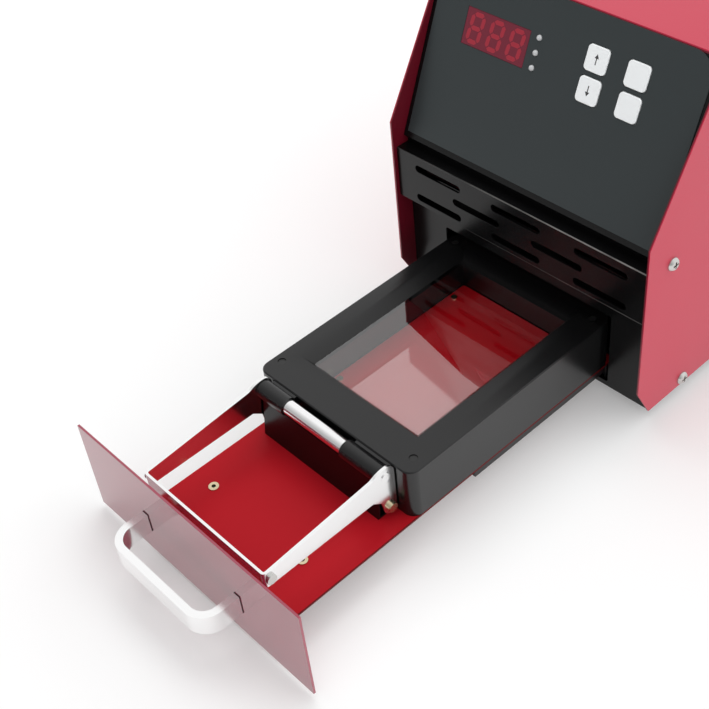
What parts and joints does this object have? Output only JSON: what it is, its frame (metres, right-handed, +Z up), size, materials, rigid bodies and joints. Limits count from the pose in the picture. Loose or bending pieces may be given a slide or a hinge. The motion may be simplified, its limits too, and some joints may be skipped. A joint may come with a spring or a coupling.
{
  "type": "flash stamp machine",
  "caption": "Flash stamp exposure machine with a red sheet cover, black sloped control panel and an open drawer carrying a glass lid, hinged clamp lever and press bed.",
  "frame": {"origin": "middle of the bounding box's bottom face, on the table under the rubber feet, with the drawer pulled out", "axes": "+X to the viewer's right when facing the control panel, +Y into the machine towards its back, +Z up"},
  "size_m": [0.1754, 0.504, 0.1976],
  "materials": {
    "red_cover": "gloss powder coat, red",
    "red_tray": "gloss powder coat, red",
    "red_panel": "high gloss enamel, red",
    "black_sheet": "satin powder coat, black",
    "black_casting": "satin black, lid frame and bearings",
    "panel_film": "satin charcoal film",
    "white_keys": "white key caps",
    "red_lens": "clear dark red window",
    "black_plastic": "moulded black",
    "lamp_lens": "milky indicator lens",
    "board": "green circuit board",
    "steel": "plain steel",
    "nickel": "bright nickel plate",
    "screw": "bright plated screws",
    "bar": "satin aluminium",
    "brass": "brass",
    "clear": "clear glass",
    "polished": "polished reflector",
    "rubber": "black rubber",
    "runner": "black zinc",
    "can": "capacitor sleeve",
    "copper": "enamelled copper",
    "ceramic": "ceramic"
  },
  "bodies": {
    "housing": {"cover": "red_cover", "front_plate": "black_sheet", "vent_plate": "black_sheet", "panel_overlay": "panel_film", "display_lens": "red_lens", "digit_module": "black_plastic", "indicator_lights": "lamp_lens", "control_board": "board", "board_posts": "black_plastic", "push_switches": "black_plastic", "chassis": "black_sheet", "cover_screws": "screw", "rubber_feet": "rubber", "runner_fixed_left": "runner", "runner_fixed_right": "runner", "lamp_deck": "black_sheet", "lamp_pane": "clear", "reflector": "polished", "flash_tubes": "clear", "lamp_holders": "ceramic", "capacitors": "can", "capacitor_clamp": "steel", "power_board": "board", "power_board_posts": "black_plastic", "trigger_transformer": "steel", "transformer_winding": "copper", "heat_sink": "polished", "power_inlet": "black_plastic", "inlet_screws": "screw", "rocker_frame": "black_plastic", "fuse_holder": "black_plastic", "fuse_cap": "black_plastic"},
    "drawer": {"tray_plate": "red_tray", "plate_eyelets": "brass", "front_panel": "red_panel", "handle": "bar", "handle_spacers": "rubber", "handle_screws": "screw", "lid_frame": "black_casting", "lid_screws": "black_plastic", "lid_glass": "clear", "glass_retainer": "black_casting", "apron_wall": "black_sheet", "bearing_left": "black_casting", "bearing_right": "black_casting", "runner_inner_left": "runner", "runner_inner_right": "runner"},
    "clamp_lever": {"clamp_yoke": "nickel", "hinge_rod": "nickel", "crank_bolts": "brass", "yoke_screws": "screw"},
    "bed": {"press_bed": "red_tray", "bed_pins": "brass"},
    "runner_left": {"runner_middle_left": "runner"},
    "runner_right": {"runner_middle_right": "runner"},
    "button_up": {"button_up": "white_keys"},
    "button_down": {"button_down": "white_keys"},
    "button_pattern": {"button_pattern": "white_keys"},
    "button_start": {"button_start": "white_keys"},
    "power_rocker": {"power_rocker": "black_plastic"}
  },
  "joints": [
    {"name": "drawer_slide", "type": "slide", "parent": "housing", "child": "drawer", "axis": [0, -1, 0], "range_m": [-0.2308, 0]},
    {"name": "runner_slide_left", "type": "slide", "parent": "housing", "child": "runner_left", "axis": [0, -1, 0], "range_m": [-0.1155, 0.0001]},
    {"name": "runner_slide_right", "type": "slide", "parent": "housing", "child": "runner_right", "axis": [0, -1, 0], "range_m": [-0.1155, 0.0001]},
    {"name": "lever_hinge", "type": "hinge", "parent": "drawer", "child": "clamp_lever", "pos_m": [0, -0.145, 0.048], "axis": [-1, 0, 0], "range_deg": [0, 90]},
    {"name": "bed_slide", "type": "slide", "parent": "drawer", "child": "bed", "axis": [0, 0, -1], "range_m": [-0.00001, 0.00801]},
    {"name": "button_up_press", "type": "slide", "parent": "housing", "child": "button_up", "axis": [0, 0.9243, -0.3818], "range_m": [0, 0.0008], "stiffness_N_per_m": 900, "springref_m": -0.0006},
    {"name": "button_down_press", "type": "slide", "parent": "housing", "child": "button_down", "axis": [0, 0.9243, -0.3818], "range_m": [0, 0.0008], "stiffness_N_per_m": 900, "springref_m": -0.0006},
    {"name": "button_pattern_press", "type": "slide", "parent": "housing", "child": "button_pattern", "axis": [0, 0.9243, -0.3818], "range_m": [0, 0.0008], "stiffness_N_per_m": 900, "springref_m": -0.0006},
    {"name": "button_start_press", "type": "slide", "parent": "housing", "child": "button_start", "axis": [0, 0.9243, -0.3818], "range_m": [0, 0.0008], "stiffness_N_per_m": 900, "springref_m": -0.0006},
    {"name": "power_rocker_tilt", "type": "hinge", "parent": "housing", "child": "power_rocker", "pos_m": [-0.004, 0.244, 0.139], "axis": [1, 0, 0], "range_deg": [0, 16]}
  ],
  "couplings": [
    {"joint": "runner_slide_left", "follows": "drawer_slide", "ratio": 0.5},
    {"joint": "runner_slide_right", "follows": "drawer_slide", "ratio": 0.5},
    {"joint": "bed_slide", "follows": "lever_hinge", "m_per_rad": 0.005093}
  ]
}
